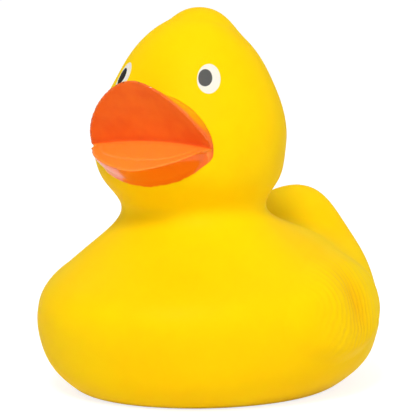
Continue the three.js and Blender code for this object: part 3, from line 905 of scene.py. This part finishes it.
def stage_material():
    """Plain pale paper that the camera sees as white, apart from the duck's soft shadow."""
    nodes = Nodes(bpy.data.materials.new("studio_floor"))
    path = nodes.add("ShaderNodeLightPath")
    seen = nodes.math("MAXIMUM", path.outputs["Is Camera Ray"], path.outputs["Is Glossy Ray"])
    seen = nodes.math("MAXIMUM", seen, path.outputs["Is Transmission Ray"])
    paper = nodes.add("ShaderNodeBsdfDiffuse")
    nodes.put(nodes.blend(seen, PAPER, SEEN_PAPER), paper.inputs["Color"])
    glow = nodes.add("ShaderNodeEmission")
    nodes.put(nodes.times(seen, SEEN_GLOW), glow.inputs["Strength"])
    both = nodes.add("ShaderNodeAddShader")
    nodes.put(paper.outputs[0], both.inputs[0])
    nodes.put(glow.outputs[0], both.inputs[1])
    return nodes.finish(both)


def build_stage():
    mesh = bpy.data.meshes.new("studio_floor")
    signs = ((-1, -1), (1, -1), (1, 1), (-1, 1))
    corners = [(x * FLOOR_REACH, y * FLOOR_REACH, 0) for x, y in signs]
    mesh.from_pydata(corners, [], [(0, 1, 2, 3)])
    mesh.materials.append(stage_material())
    floor = bpy.data.objects.new("studio_floor", mesh)
    bpy.context.scene.collection.objects.link(floor)


def build_world():
    """Even pale light from all round, a little brighter overhead, and plain white seen directly."""
    nodes = Nodes(bpy.data.worlds.new("studio"))
    height = nodes.part_of(nodes.place("Generated"), "Z")
    sky = nodes.ramp(height, *SKY_HEIGHTS, *SKY_STRENGTHS, curve="LINEAR")
    path = nodes.add("ShaderNodeLightPath")
    seen = nodes.math("MAXIMUM", path.outputs["Is Camera Ray"], path.outputs["Is Transmission Ray"])
    light = nodes.add("ShaderNodeBackground")
    nodes.put(WHITE, light.inputs["Color"])
    nodes.put(nodes.mix(seen, sky, SEEN_SKY), light.inputs["Strength"])
    bpy.context.scene.world = nodes.finish(light, "ShaderNodeOutputWorld")


def add_lamp(name, place, aim, size, power, mirrored=True):
    """A round lamp; one that isn't mirrored lights the duck but leaves no highlight."""
    lamp = bpy.data.lights.new(name, "AREA")
    lamp.shape = "DISK"
    lamp.size = size
    lamp.energy = power
    holder = bpy.data.objects.new(name, lamp)
    holder.location = place
    holder.rotation_mode = "QUATERNION"
    holder.rotation_quaternion = (Vector(aim) - Vector(place)).to_track_quat("-Z", "Y")
    holder.visible_glossy = mirrored
    bpy.context.scene.collection.objects.link(holder)


# The lamps aim at the duck's middle or at its foot.
DUCK_MIDDLE = (0, 0, 0.04)
DUCK_FOOT = (0, 0, 0.01)


def build_lights():
    build_world()
    add_lamp("key_light", (0.35, -0.9, 1.0), DUCK_MIDDLE, size=0.3, power=9.5)
    add_lamp("side_light", (1.2, 0, 0.5), DUCK_MIDDLE, size=0.8, power=2, mirrored=False)
    add_lamp("low_light", (0.4, -1.3, 0.05), DUCK_FOOT, size=0.9, power=1.9, mirrored=False)


# The camera stands to the duck's left and a little above it. Its aim is measured from the form's
# zero, then to the right and upward in the picture.
CAMERA_TURN = math.radians(30)
CAMERA_RISE = math.radians(5.5)
CAMERA_DISTANCE = 0.5
CAMERA_AIM_HEIGHT = 0.04
CAMERA_AIM_RIGHT = 0.00308
CAMERA_AIM_UP = 0.00044
CAMERA_CLIP_START = 0.01
CAMERA_CLIP_END = 100
PICTURE_WIDTH = 0.09152
SENSOR_WIDTH = 36


def build_camera():
    level = math.cos(CAMERA_RISE)
    ahead = math.cos(CAMERA_TURN)
    aside = math.sin(CAMERA_TURN)
    forward = Vector((-aside * level, ahead * level, -math.sin(CAMERA_RISE)))
    right = Vector((ahead, aside, 0))
    up = right.cross(forward)
    aim = Vector((0, FORM_BACK * MILLIMETRE, CAMERA_AIM_HEIGHT))
    aim += right * CAMERA_AIM_RIGHT + up * CAMERA_AIM_UP
    camera = bpy.data.cameras.new("camera")
    camera.sensor_width = SENSOR_WIDTH
    camera.lens = SENSOR_WIDTH * CAMERA_DISTANCE / PICTURE_WIDTH
    camera.clip_start = CAMERA_CLIP_START
    camera.clip_end = CAMERA_CLIP_END
    holder = bpy.data.objects.new("camera", camera)
    turned = Matrix((right, up, -forward)).transposed().to_4x4()
    holder.matrix_world = Matrix.Translation(aim - forward * CAMERA_DISTANCE) @ turned
    bpy.context.scene.collection.objects.link(holder)
    bpy.context.scene.camera = holder


build_camera()
build_duck()
finish_squeaker()
build_stage()
build_lights()
bpy.context.scene.view_settings.view_transform = "Standard"
